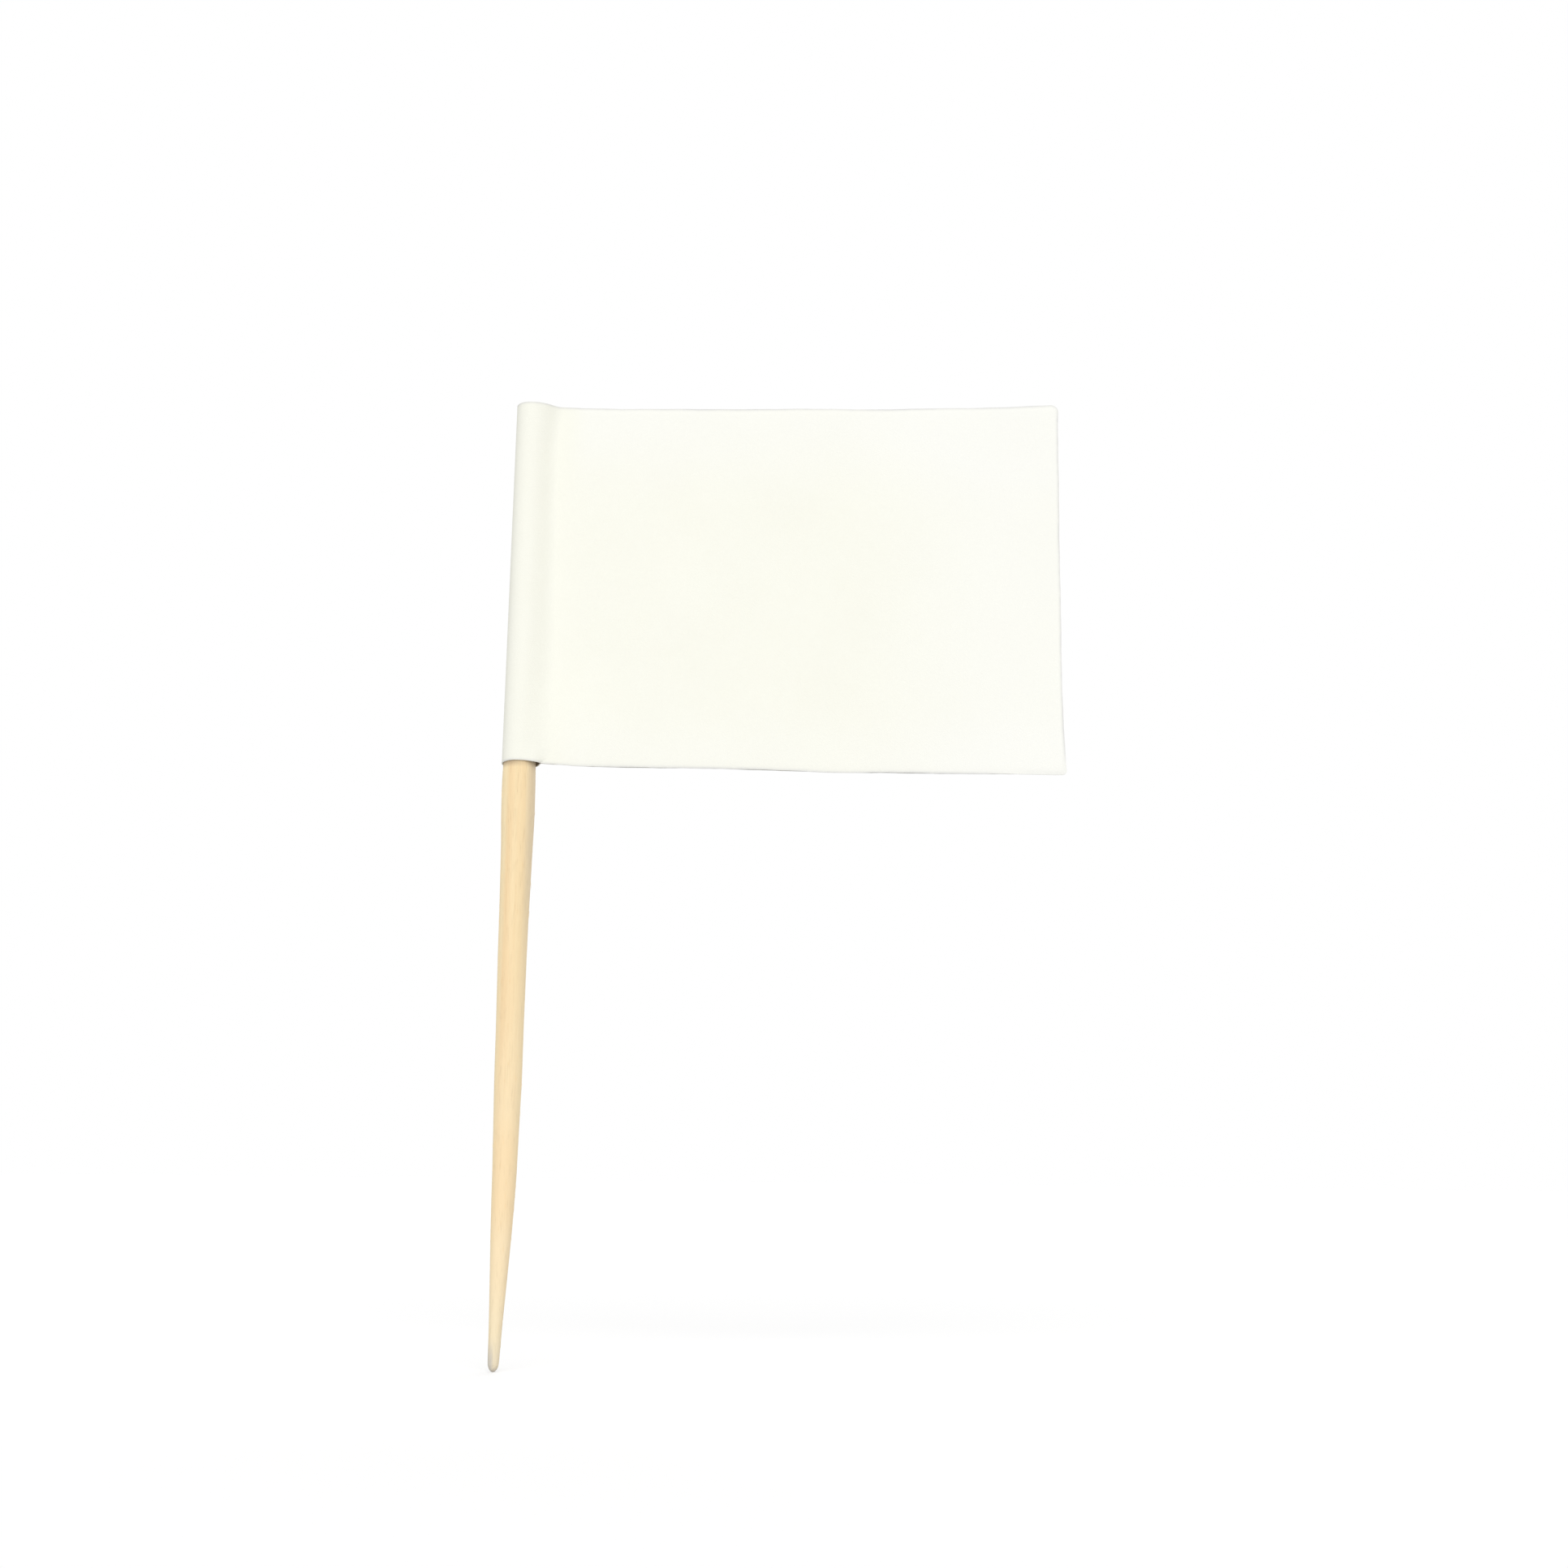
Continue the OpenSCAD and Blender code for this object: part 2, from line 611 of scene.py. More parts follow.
        # Painted shadow just under the sleeve's lower edge, stronger away from the flag.
        under_rim_shadow = surface.ramp(height, Fade(self.rim_height - self.rim_depth, self.rim_height))
        return [
            (surface.ramp(height, self.point_from), self.point),
            (warm, self.warm),
            (surface.ramp(height, self.bleached_from), self.bleached),
            (vein, self.peach),
            # Painted light on the side away from the flag.
            (surface.ramp(side, self.sap_side), self.sap),
            # Painted light low and painted shade high on the flag's side.
            (surface.ramp(side, self.flag_side), flag_limb_shading),
            # Greyer near the tip, on the side away from the flag and at its very end.
            (surface.math("MAXIMUM", side_grey, surface.ramp(height, self.end_grey)), self.tip),
            # Painted shadow just under the sleeve's lower edge.
            (surface.times(under_rim_shadow, surface.ramp(side, self.rim_side)), self.rim),
        ]

    def make(self, effects: Effects) -> Material:
        """Build the material.

        Args:
            effects: the shared node groups.

        Returns:
            The wood material, on Object coordinates.
        """
        surface = Surface("pale_wood", effects)
        mm = surface.millimetres()
        place = surface.add("ShaderNodeSeparateXYZ", {"Vector": mm}).outputs
        along = surface.mapping(mm, self.grain_stretch, self.grain_lean)
        drift = surface.effect(along, self.grain)
        rings = surface.rings(along, self.flank_rings, bands_direction="DIAGONAL")
        straw = surface.effect(surface.mapping(along, UNSCALED, shift=self.straw_shift), self.straw_drift)
        pores = surface.effect(surface.mapping(mm, self.pore_stretch, shift=self.pore_shift), self.pores)
        ringed = surface.times(rings, self.flank_share)
        grain = surface.math("ADD", surface.times(drift, self.grain_share), ringed)
        top = Fade(self.length - self.end_from, self.length - self.end_full, 0.0, self.end_share)
        coats = [
            (grain, self.peach),
            (surface.times(straw, self.straw_share), self.straw),
            (surface.times(pores, self.pore_share), self.pore),
            *self._zones(surface, place["Z"], place["X"]),
            (surface.ramp(place["Z"], top), self._sawn(surface, mm)),
        ]
        looks = {
            "Base Color": surface.coats(self.cream, coats),
            "Roughness": surface.ramp(drift, self.roughness),
            "Specular IOR Level": self.specular,
        }
        fine = surface.effect(surface.mapping(mm, self.fine_stretch), self.fine)
        relief = surface.math("SUBTRACT", surface.times(fine, self.fine_share), pores)
        return surface.fill(looks, relief, self.pore_depth)


@dataclass(frozen=True)
class GlueFinish:
    """Dry white glue: a cream film, a little glossier than the paper."""

    cream: Triple = (0.86, 0.83, 0.70)
    amber: Triple = (0.78, 0.72, 0.55)
    drift: Drift = Drift(0.5, 3.0, 0.4)
    roughness: Fade = Fade(0.0, 1.0, 0.3, 0.5)
    relief: float = 0.01
    specular: float = 0.4

    def make(self, effects: Effects) -> Material:
        """Build the material.

        Args:
            effects: the shared node groups.

        Returns:
            The glue material, on Object coordinates.
        """
        surface = Surface("dry_glue", effects)
        drift = surface.effect(surface.millimetres(), self.drift)
        looks = {
            "Base Color": surface.mix(drift, self.cream, self.amber),
            "Roughness": surface.ramp(drift, self.roughness),
            "Specular IOR Level": self.specular,
        }
        return surface.fill(looks, drift, self.relief)


def scene_object(name: str, data: Any) -> Piece:
    """Put new data into the scene.

    Args:
        name: the object's name.
        data: a mesh, a lamp or a camera.

    Returns:
        The new object, at the origin.
    """
    placed = bpy.data.objects.new(name, data)
    bpy.context.scene.collection.objects.link(placed)
    return placed


def mesh_object(name: str, points: np.ndarray, faces: list[list[int]]) -> Piece:
    """Make a mesh object in the scene.

    Args:
        name: object and mesh name.
        points: corner positions in metres.
        faces: corner numbers of each face, counter-clockwise from outside.

    Returns:
        The new object, at the origin.
    """
    mesh = bpy.data.meshes.new(name)
    mesh.from_pydata([tuple(p) for p in points], [], faces)
    mesh.validate()
    mesh.update()
    return scene_object(name, mesh)


def set_attribute(mesh: bpy.types.Mesh, name: str, values: np.ndarray) -> None:
    """Store a number or a vector on every corner of a mesh.

    Args:
        mesh: the mesh.
        name: the attribute's name.
        values: one number or one vector for each corner.
    """
    vector = values.ndim == 2
    attribute = mesh.attributes.new(name, "FLOAT_VECTOR" if vector else "FLOAT", "POINT")
    attribute.data.foreach_set("vector" if vector else "value", values.astype(np.float32).ravel())


def slab_faces(rows: int, columns: int) -> list[list[int]]:
    """Number the faces of a sheet with thickness.

    Args:
        rows: points up the sheet.
        columns: points along the sheet.

    Returns:
        Outer faces, inner faces and the four cut edges.
    """
    grid = np.arange(rows * columns).reshape(rows, columns)
    corners = (grid[:-1, :-1], grid[:-1, 1:], grid[1:, 1:], grid[1:, :-1])
    a, b, c, d = (corner.ravel() for corner in corners)
    border = np.concatenate([grid[0, :-1], grid[:-1, -1], grid[-1, :0:-1], grid[:0:-1, 0]])
    onward = np.roll(border, -1)
    outer = np.stack([a, d, c, b], axis=1)
    inner = np.stack([a, b, c, d], axis=1) + grid.size
    edges = np.stack([border, onward, onward + grid.size, border + grid.size], axis=1)
    return np.concatenate([outer, inner, edges]).tolist()


def smooth_with_sharp_edges(mesh: bpy.types.Mesh, degrees: float) -> None:
    """Shade a mesh smooth, apart from edges sharper than an angle."""
    mesh.polygons.foreach_set("use_smooth", np.ones(len(mesh.polygons), bool))
    mesh.set_sharp_from_angle(angle=math.radians(degrees))


def slab(name: str, outer: np.ndarray, inner: np.ndarray, material: Material, sharp: float) -> Piece:
    """Make a sheet with thickness.

    Args:
        name: the piece's name.
        outer: points of one face in millimetres, rows by columns.
        inner: points of the other face.
        material: the sheet's material.
        sharp: angle in degrees past which an edge is shaded sharp.

    Returns:
        The finished piece.
    """
    points = np.concatenate([outer.reshape(-1, 3), inner.reshape(-1, 3)]) * MM
    piece = mesh_object(name, points, slab_faces(*outer.shape[:2]))
    piece.data.materials.append(material)
    smooth_with_sharp_edges(piece.data, sharp)
    return piece


def read_profile(profile: Profile, places: np.ndarray) -> np.ndarray:
    """Read a profile at some places, straight between its points and held beyond its ends."""
    return np.interp(places, *zip(*profile))


def eased_profile(profile: Profile, places: np.ndarray, ease: float, samples: int = 41) -> np.ndarray:
    """Read a profile at some places, with its corners rounded.

    Args:
        profile: places and values that the profile passes near.
        places: where to read it.
        ease: distance on each side of a corner over which it is rounded.
        samples: how many readings are averaged.

    Returns:
        The values, held beyond the profile's ends.
    """
    steps = np.linspace(-1.0, 1.0, samples)
    weights = 1.0 + np.cos(math.pi * steps)
    return read_profile(profile, places[..., None] + ease * steps) @ (weights / weights.sum())


def spaced(first: np.ndarray, last: np.ndarray, length: float, count: int) -> np.ndarray:
    """Share out points over a length: as given from its start and its end, and evenly between."""
    middle = np.linspace(first[-1], length - last[-1], count)[1:-1]
    return np.concatenate([first, middle, length - np.flip(last)]) / length


def rounding(radius: float, inset: np.ndarray) -> np.ndarray:
    """Give how far a rounded corner falls back, at distances from the edge beside it."""
    near = np.clip(radius - inset, 0.0, radius)
    return radius - np.sqrt(radius**2 - near**2)


class GrowingTree:
    """A Geometry Nodes tree with named inputs, run once on a host object."""

    KINDS = {float: Kind.NUMBER, int: Kind.COUNT, Material: Kind.MATERIAL}

    def __init__(self, name: str, values: Inputs) -> None:
        """Start the tree.

        Args:
            name: the tree's name.
            values: input name to value, beside the geometry itself.
        """
        self.tree = bpy.data.node_groups.new(name, "GeometryNodeTree")
        face = self.tree.interface
        face.new_socket("Geometry", in_out="INPUT", socket_type=Kind.GEOMETRY.value)
        self.values = {}
        for label, value in values.items():
            kind = self.KINDS[type(value)]
            socket = face.new_socket(label, in_out="INPUT", socket_type=kind.value)
            self.values[socket.identifier] = value
        face.new_socket("Geometry", in_out="OUTPUT", socket_type=Kind.GEOMETRY.value)
        self.bench = Bench(self.tree)
        self.start = self.bench.add("NodeGroupInput")
        self.end = self.bench.add("NodeGroupOutput")

    def sweep(self, curve: Socket, sides: Any, girth: Socket) -> Socket:
        """Sweep a circle along a curve.

        Args:
            curve: the curve that it follows.
            sides: corners of the circle.
            girth: radius at each point of the curve.

        Returns:
            The socket with the closed mesh.
        """
        ring = self.bench.first("GeometryNodeCurvePrimitiveCircle", {"Resolution": sides, "Radius": 1.0})
        route = {"Curve": curve, "Profile Curve": ring, "Scale": girth, "Fill Caps": True}
        return self.bench.first("GeometryNodeCurveToMesh", route)

    def close(self, geometry: Socket) -> None:
        """Finish the tree with real geometry and a material.

        Args:
            geometry: the socket with the grown shape.
        """
        real = self.bench.first("GeometryNodeRealizeInstances", {"Geometry": geometry})
        dress = {"Geometry": real, "Material": self.start.outputs["Material"]}
        self.tree.links.new(self.bench.first("GeometryNodeSetMaterial", dress), self.end.inputs[0])

    def grow(self, host: Piece, name: str) -> Piece:
        """Run the tree and keep its result as a plain mesh object.

        Args:
            host: object whose mesh goes in.
            name: name of the new object.

        Returns:
            The new object. The host is left without the modifier.
        """
        modifier = host.modifiers.new(self.tree.name, "NODES")
        modifier.node_group = self.tree
        for identifier, value in self.values.items():
            modifier[identifier] = value
        bpy.context.view_layer.update()
        depsgraph = bpy.context.evaluated_depsgraph_get()
        grown = host.evaluated_get(depsgraph)
        mesh = bpy.data.meshes.new_from_object(grown, preserve_all_data_layers=True, depsgraph=depsgraph)
        host.modifiers.remove(modifier)
        mesh.name = name
        return scene_object(name, mesh)


@dataclass
class Pick:
    """Round wooden pick, thickest just under the flag, with a long point and a blunt tip off centre."""

    length: float
    bevel: float = 0.12
    radii: Profile = (
        (0.34, 0.355),
        (2.75, 0.427),
        (8.8, 0.69),
        (11.4, 0.77),
        (15.0, 0.835),
        (18.5, 0.905),
        (22.0, 0.915),
        (29.4, 0.98),
        (34.1, 1.06),
        (36.0, 1.12),
        (38.4, 1.126),
        (39.4, 1.093),
        (64.0, 1.01),
    )
    radii_ease: float = 1.0
    eased_from: float = 1.5
    bow: Profile = ((0.0, 0.055), (18.5, 0.055), (26.5, 0.013), (34.5, 0.04), (38.2, 0.0))
    bow_ease: float = 1.3
    tip_radius: float = 0.36
    tip_length: float = 0.6
    lean: float = 0.26
    lean_from: float = 12.5
    lean_power: float = 1.15
    point_top: float = 15.0
    seat_low: float = 41.0
    dome_start: float = 0.1
    dome_rings: int = 11
    span_rings: tuple[int, int, int] = (62, 60, 14)
    sides: int = 128
    relief: float = 0.016
    grain: Noise = Noise(2.6, 4.0, 0.6)
    grain_stretch: float = 0.06
    grain_level: float = 0.55
    sharp: float = 35.0
    seed: int = 11

    def radius_at(self, height: np.ndarray) -> np.ndarray:
        """Give the radius at some heights, with the profile's corners eased above the tip."""
        eased = eased_profile(self.radii, height, self.radii_ease)
        return np.where(height < self.eased_from, read_profile(self.radii, height), eased)

    def path(self) -> tuple[np.ndarray, np.ndarray]:
        """Lay out the rings of the pick from tip to top.

        Returns:
            Ring centres and ring radii, in millimetres.
        """
        turns = np.linspace(self.dome_start, 0.5 * math.pi, self.dome_rings)
        stops = (self.tip_length, self.point_top, self.seat_low, self.length - self.bevel)
        spans = [np.linspace(a, b, n)[1:] for a, b, n in zip(stops, stops[1:], self.span_rings)]
        height = np.concatenate([self.tip_length * (1.0 - np.cos(turns)), *spans, [self.length]])
        radius = self.radius_at(height)
        low = height < self.tip_length
        radius[low] = self.tip_radius * np.sqrt(1.0 - (1.0 - height[low] / self.tip_length) ** 2)
        radius[-1] -= self.bevel
        below = np.clip((self.lean_from - height) / self.lean_from, 0.0, None)
        aside = eased_profile(self.bow, height, self.bow_ease) - self.lean * below**self.lean_power
        return np.stack([aside, np.zeros_like(height), height], axis=1), radius

    def sweep_tree(self, wood: Material) -> GrowingTree:
        """Build the tree that sweeps a circle along the path and raises the grain.

        Args:
            wood: the pick's material.

        Returns:
            The tree, with Sides, Relief, Seed and Material as inputs.
        """
        values = {"Sides": self.sides, "Relief": self.relief * MM, "Seed": float(self.seed), "Material": wood}
        growing = GrowingTree("pick_sweep", values)
        bench, given = growing.bench, growing.start.outputs
        path = bench.first("GeometryNodeMeshToCurve", {"Mesh": given["Geometry"]})
        girth = bench.add("GeometryNodeInputNamedAttribute", {"Name": "girth"}, data_type="FLOAT")
        swept = growing.sweep(path, given["Sides"], bench.out(girth, "Attribute"))
        place = bench.first("GeometryNodeInputPosition")
        along = bench.vector("MULTIPLY", place, (1 / MM, 1 / MM, self.grain_stretch / MM))
        seed = bench.first("ShaderNodeCombineXYZ", {"X": given["Seed"], "Y": given["Seed"]})
        grain = {"Vector": bench.vector("ADD", along, seed), **sockets_of(self.grain)}
        above = bench.math("SUBTRACT", bench.first("ShaderNodeTexNoise", grain), self.grain_level)
        normal = bench.first("GeometryNodeInputNormal")
        offset = bench.vector("SCALE", normal, bench.times(above, given["Relief"]))
        growing.close(bench.first("GeometryNodeSetPosition", {"Geometry": swept, "Offset": offset}))
        return growing

    def build(self, wood: Material) -> Piece:
        """Make the pick.

        Args:
            wood: the pick's material.

        Returns:
            The finished piece.
        """
        centres, radii = self.path()
        mesh = bpy.data.meshes.new("pick_path")
        mesh.from_pydata([tuple(c) for c in centres * MM], [(i, i + 1) for i in range(len(centres) - 1)], [])
        set_attribute(mesh, "girth", radii * MM)
        host = scene_object("pick_path", mesh)
        piece = self.sweep_tree(wood).grow(host, "round_pick")
        bpy.data.objects.remove(host, do_unlink=True)
        smooth_with_sharp_edges(piece.data, self.sharp)
        return piece


@dataclass
class Splinters:
    """Fine fibres that stand a little off the pick where the grain was cut."""

    per_mm2: float = 0.42
    length: float = 0.55
    shortest: float = 0.35
    thick: float = 0.014
    blunt: float = 1.04
    tilt: float = 0.1
    lowest: float = 0.6
    highest: float = 38.5
    sides: int = 5
    steps: int = 5
    sharp: float = 60.0
    seed: int = 7

    def tree(self, wood: Material) -> GrowingTree:
        """Build the tree that scatters tapered fibres over the pick.

        Args:
            wood: the fibres' material.

        Returns:
            The tree, with its sizes, Seed and Material as inputs.
        """
        values = {
            "Density": self.per_mm2 / MM**2,
            "Length": self.length * MM,
            "Thick": self.thick * MM,
            "Tilt": self.tilt,
            "Lowest": self.lowest * MM,
            "Highest": self.highest * MM,
            "Seed": self.seed,
            "Material": wood,
        }
        growing = GrowingTree("raised_fibres", values)
        bench, given = growing.bench, growing.start.outputs
        place = bench.first("GeometryNodeInputPosition")
        height = bench.add("ShaderNodeSeparateXYZ", {"Vector": place}).outputs["Z"]
        above = bench.math("GREATER_THAN", height, given["Lowest"])
        below = bench.math("LESS_THAN", height, given["Highest"])
        spread = {"Mesh": given["Geometry"], "Selection": bench.times(above, below)}
        spread.update({"Density": given["Density"], "Seed": given["Seed"]})
        points = bench.add("GeometryNodeDistributePointsOnFaces", spread)
        tip = bench.first("ShaderNodeCombineXYZ", {"Z": given["Length"]})
        line = bench.first("GeometryNodeCurvePrimitiveLine", {"End": tip})
        stem = bench.first("GeometryNodeResampleCurve", {"Curve": line, "Count": self.steps})
        share = bench.add("GeometryNodeSplineParameter").outputs["Factor"]
        taper = bench.times(bench.math("SUBTRACT", self.blunt, share), given["Thick"])
        fibre = growing.sweep(stem, self.sides, taper)
        lean = bench.vector("SCALE", points.outputs["Normal"], given["Tilt"])
        either = {"Min_002": 0, "Max_002": 1, "Seed": given["Seed"]}
        upward = bench.out(bench.add("FunctionNodeRandomValue", either, data_type="INT"), "Value_002")
        sign = bench.math("SUBTRACT", bench.times(upward, 2.0), 1.0)
        way = bench.vector("ADD", bench.first("ShaderNodeCombineXYZ", {"Z": sign}), lean)
        turn = bench.first("FunctionNodeAlignRotationToVector", {"Vector": way}, axis="Z")
        sizes = {"Min_001": self.shortest, "Max_001": 1.0, "Seed": given["Seed"]}
        size = bench.out(bench.add("FunctionNodeRandomValue", sizes, data_type="FLOAT"), "Value_001")
        scatter = {"Points": points.outputs["Points"], "Instance": fibre, "Rotation": turn, "Scale": size}
        growing.close(bench.first("GeometryNodeInstanceOnPoints", scatter))
        return growing

    def build(self, pick: Piece, wood: Material) -> Piece:
        """Scatter the fibres over a finished pick.

        Args:
            pick: the pick's mesh.
            wood: the fibres' material.

        Returns:
            The finished piece.
        """
        piece = self.tree(wood).grow(pick, "pick_fibres")
        smooth_with_sharp_edges(piece.data, self.sharp)
        return piece


@dataclass
class FoldedFlag:
    """One strip of paper folded round the pick, its two leaves lying face to face.

    A profile whose name starts with loop is read over the height, from 0 at the lower edge to 1 at the upper.
    A spread holds how far something reaches from the lower and the upper edge, and its share at the upper.
    """

    low: float
    high: float
    crease: float
    solid_reach: float
    paper: float
    glue: float
    overhang: float = 0.045
    bore_low: float = 1.108
    bore_high: float = 1.03
    rim_lift: float = 0.006
    rim_spread: Triple = (0.55, 0.5, 0.6)
    rim_rise: float = 0.02
    rim_slope: float = 0.06
    rim_round: Fade = Fade(1.3, 1.9, 1.0, 0.0)
    loop_ends: Profile = (
        (0.0, 1.5),
        (0.012, 1.95),
        (0.045, 2.5),
        (0.22, 2.25),
        (0.6, 2.0),
        (0.9, 1.88),
        (1.0, 2.3),
    )
    loop_leave: Profile = ((0.0, 80.0), (0.045, 70.0), (0.22, 64.0), (0.9, 62.0), (0.96, 72.0), (1.0, 86.0))
    loop_pull: Profile = ((0.0, 0.9), (0.012, 0.6), (0.045, 0.42), (0.9, 0.42), (1.0, 0.58))
    loop_close: Profile = ((0.0, 0.12), (0.012, 0.3), (0.045, 0.42))
    lean: float = 0.45
    lean_out: Fade = Fade(1.5, 9.5, 1.0, 0.0)
    lean_up: Fade = Fade(0.0, 8.0, 1.0, 0.0)
    slant_from: float = 2.0
    slant_most: float = 1.05
    low_drop: float = 0.37
    high_rise: float = 0.337
    top_lifts: Profile = ((2.0, 0.05), (7.0, -0.025), (24.0, 0.0), (28.0, 0.07), (37.0, 0.065))
    low_dips: Profile = (
        (1.6, 0.0),
        (3.9, 0.1),
        (5.5, 0.1),
        (7.5, 0.04),
        (11.0, 0.0),
        (18.0, 0.02),
        (21.5, 0.09),
        (25.0, 0.0),
        (33.0, 0.0),
        (35.4, 0.1),
    )
    edge_ease: float = 1.0
    back_top_short: float = 0.04
    back_low_short: Fade = Fade(33.0, 34.2, 0.0, 0.05)
    back_shift: float = 40.0
    upper_corner: float = 0.58
    lower_corner: float = 0.3
    corner_flare: float = 0.2
    flare_spread: Triple = (2.0, 1.5, 0.35)
    curl: float = 0.76
    curl_from: float = 10.0
    curl_most: float = 1.2
    corner_curl: float = 0.25
    corner_level: float = 0.25
    corner_power: int = 3
    cockle: float = 0.03
    cockle_waves: tuple[Triple, ...] = ((19.0, 33.0, 1.0), (11.0, -17.0, 0.55), (7.0, 9.0, 0.25))
    cockle_from: Fade = Fade(2.2, 9.2)
    cut_wander: float = 0.012
    cut_waves: Profile = ((9.0, 1.0), (2.7, 0.6), (0.9, 0.35))
    press_play: float = 0.002
    press_edge: Fade = Fade(0.0, 0.45, 1.0, 0.0)
    press_from: Fade = Fade(2.8, 3.6)
    bend_half: float = 0.95
    row_steps: tuple[float, ...] = (0.0, 0.03, 0.06, 0.1, 0.16, 0.24, 0.36, 0.52)
    row_gap: float = 0.42
    leaf_start: float = 1.7
    root_length: float = 2.4
    root_columns: int = 13
    leaf_columns: int = 62
    leaf_steps: tuple[float, ...] = (
        *(0.0, 0.03, 0.06, 0.1, 0.15, 0.21, 0.28, 0.36, 0.45),
        *(0.55, 0.66, 0.85, 1.1, 1.4, 1.8),
    )
    wrap_columns: int = 83
    bend_columns: int = 21
    strip_back: float = 4.0
    # Width of the painted shade along the cut edges, and how far it gives way near the lower free corner.
    edge_shade_width: float = 0.12
    edge_shade_off: Fade = Fade(6.0, 3.5, 0.0, 0.9)
    # Painted shade on a wider band along the lower edge at the free corner: its strength, width and how
    # sharply it ends.
    corner_band_from: Fade = Fade(3.4, 2.0, 0.0, 0.2)
    corner_band_width: float = 0.3
    corner_band_power: int = 4
    corner_up: Fade = Fade(0.8, 0.4)
    # Painted light near the free, upper and lower edges, none beside the pick.
    pale_out: Fade = Fade(21.0, 34.0, 0.0, 0.75)
    pale_top: Fade = Fade(8.0, 0.0, 0.0, 0.75)
    pale_low: Fade = Fade(5.0, 0.0, 0.0, 0.35)
    pale_from: Fade = Fade(2.2, 4.2)
    # Painted shade in the hollow of the fold: where it starts and ends beside the pick, and how high it
    # reaches above the lower edge.
    stain_from: Fade = Fade(0.5, 0.8)
    stain_to: Fade = Fade(2.0, 2.8, 1.0, 0.0)
    stain_up: Fade = Fade(2.0, 6.0, 1.0, 0.0)
    sharp: float = 40.0
    seed: int = 5
    seeds_apart: int = 100

    @property
    def tall(self) -> float:
        """Height of the flag."""
        return self.high - self.low

    @property
    def reach(self) -> float:
        """Distance of the free edge from the pick's axis at half height, a little past the solid's."""
        return self.solid_reach + self.overhang

    @property
    def strip_length(self) -> float:
        """Flat length of the strip, from one free edge round the pick to the other."""
        middle = self.section(np.array([0.5]))[0][0]
        return float(np.hypot(*np.diff(middle, axis=0).T).sum())

    def slant(self, x: np.ndarray) -> np.ndarray:
        """Give the share of the edges' slant at distances from the pick's axis."""
        return np.clip((x - self.slant_from) / (self.reach - self.slant_from), 0.0, self.slant_most)

    def wave(self, x: np.ndarray, z: np.ndarray) -> np.ndarray:
        """Give how far the leaves stand off their flat plane.

        Args:
            x: distance from the pick's axis.
            z: height above the tip.

        Returns:
            Offset along +Y in millimetres; the free end comes towards the front.
        """
        rng = np.random.default_rng(self.seed)
        off = np.zeros_like(x)
        for pitch_x, pitch_z, share in self.cockle_waves:
            turn = 2 * math.pi * (x / pitch_x + z / pitch_z) + rng.uniform(0, PHASE_RANGE)
            off = off + self.cockle * share * np.sin(turn)
        end = np.clip((x - (self.reach - self.curl_from)) / self.curl_from, 0.0, self.curl_most) ** 2
        down = np.clip((self.high - z) / self.tall, 0.0, 1.0)
        curl = self.curl + self.corner_curl * (down**self.corner_power - self.corner_level)
        return off * self.cockle_from.at(x) - end * curl

    def forward(self, x: np.ndarray, z: np.ndarray) -> np.ndarray:
        """Give how far both leaves lean along +Y at the lower end of the fold."""
        return -self.lean * self.lean_out.at(x) * self.lean_up.at(z - self.low)

    def wander(self, along: np.ndarray, cut: Cut) -> np.ndarray:
        """Give the slight waver of a cut edge.

        Args:
            along: distance along the edge.
            cut: the edge.

        Returns:
            Offset in millimetres.
        """
        rng = np.random.default_rng(self.seed * self.seeds_apart + cut.value)
        total = np.zeros_like(along)
        for pitch, share in self.cut_waves:
            total = total + share * np.sin(2 * math.pi * along / pitch + rng.uniform(0, PHASE_RANGE))
        return self.cut_wander * total

    def _at_edges(self, rise: np.ndarray, spread: Triple) -> np.ndarray:
        """Give a strength that is 1 at the lower edge, dies away from it and returns at the upper edge."""
        below, above, share = spread
        return np.exp(-rise / below) + share * np.exp(-(self.tall - rise) / above)

    def section(self, rows: np.ndarray) -> tuple[np.ndarray, np.ndarray, np.ndarray]:
        """Lay out the middle of the paper, seen from above, for each row.

        Args:
            rows: shares of the height, 0 at the lower edge.

        Returns:
            Middle points, outward directions and ply of each column: -1 front, 0 wrap, 1 back.
        """
        rise = rows * self.tall
        rims = self.rim_lift * self._at_edges(rise, self.rim_spread)
        radius = self.bore_low + rows * (self.bore_high - self.bore_low) + rims + self.paper / 2
        leave = np.radians(read_profile(self.loop_leave, rows))
        flare = self.corner_flare * self._at_edges(rise, self.flare_spread)
        edge = self.reach + flare + self.wander(rise, Cut.FREE)
        wrap = []
        for share in np.linspace(0.0, 1.0, self.wrap_columns + 2)[1:-1]:
            angle = -leave - share * (2 * math.pi - 2 * leave)
            wrap.append((radius * np.cos(angle), radius * np.sin(angle), np.cos(angle), np.sin(angle)))
        front, back = (self._ply(rows, edge, radius, leave, sign) for sign in (-1.0, 1.0))
        columns = np.array([*front, *wrap, *back[::-1]]).transpose(2, 0, 1)
        plies = np.array([-1] * len(front) + [0] * len(wrap) + [1] * len(back))
        outward = columns[..., 2:]
        return columns[..., :2], outward / np.linalg.norm(outward, axis=-1, keepdims=True), plies

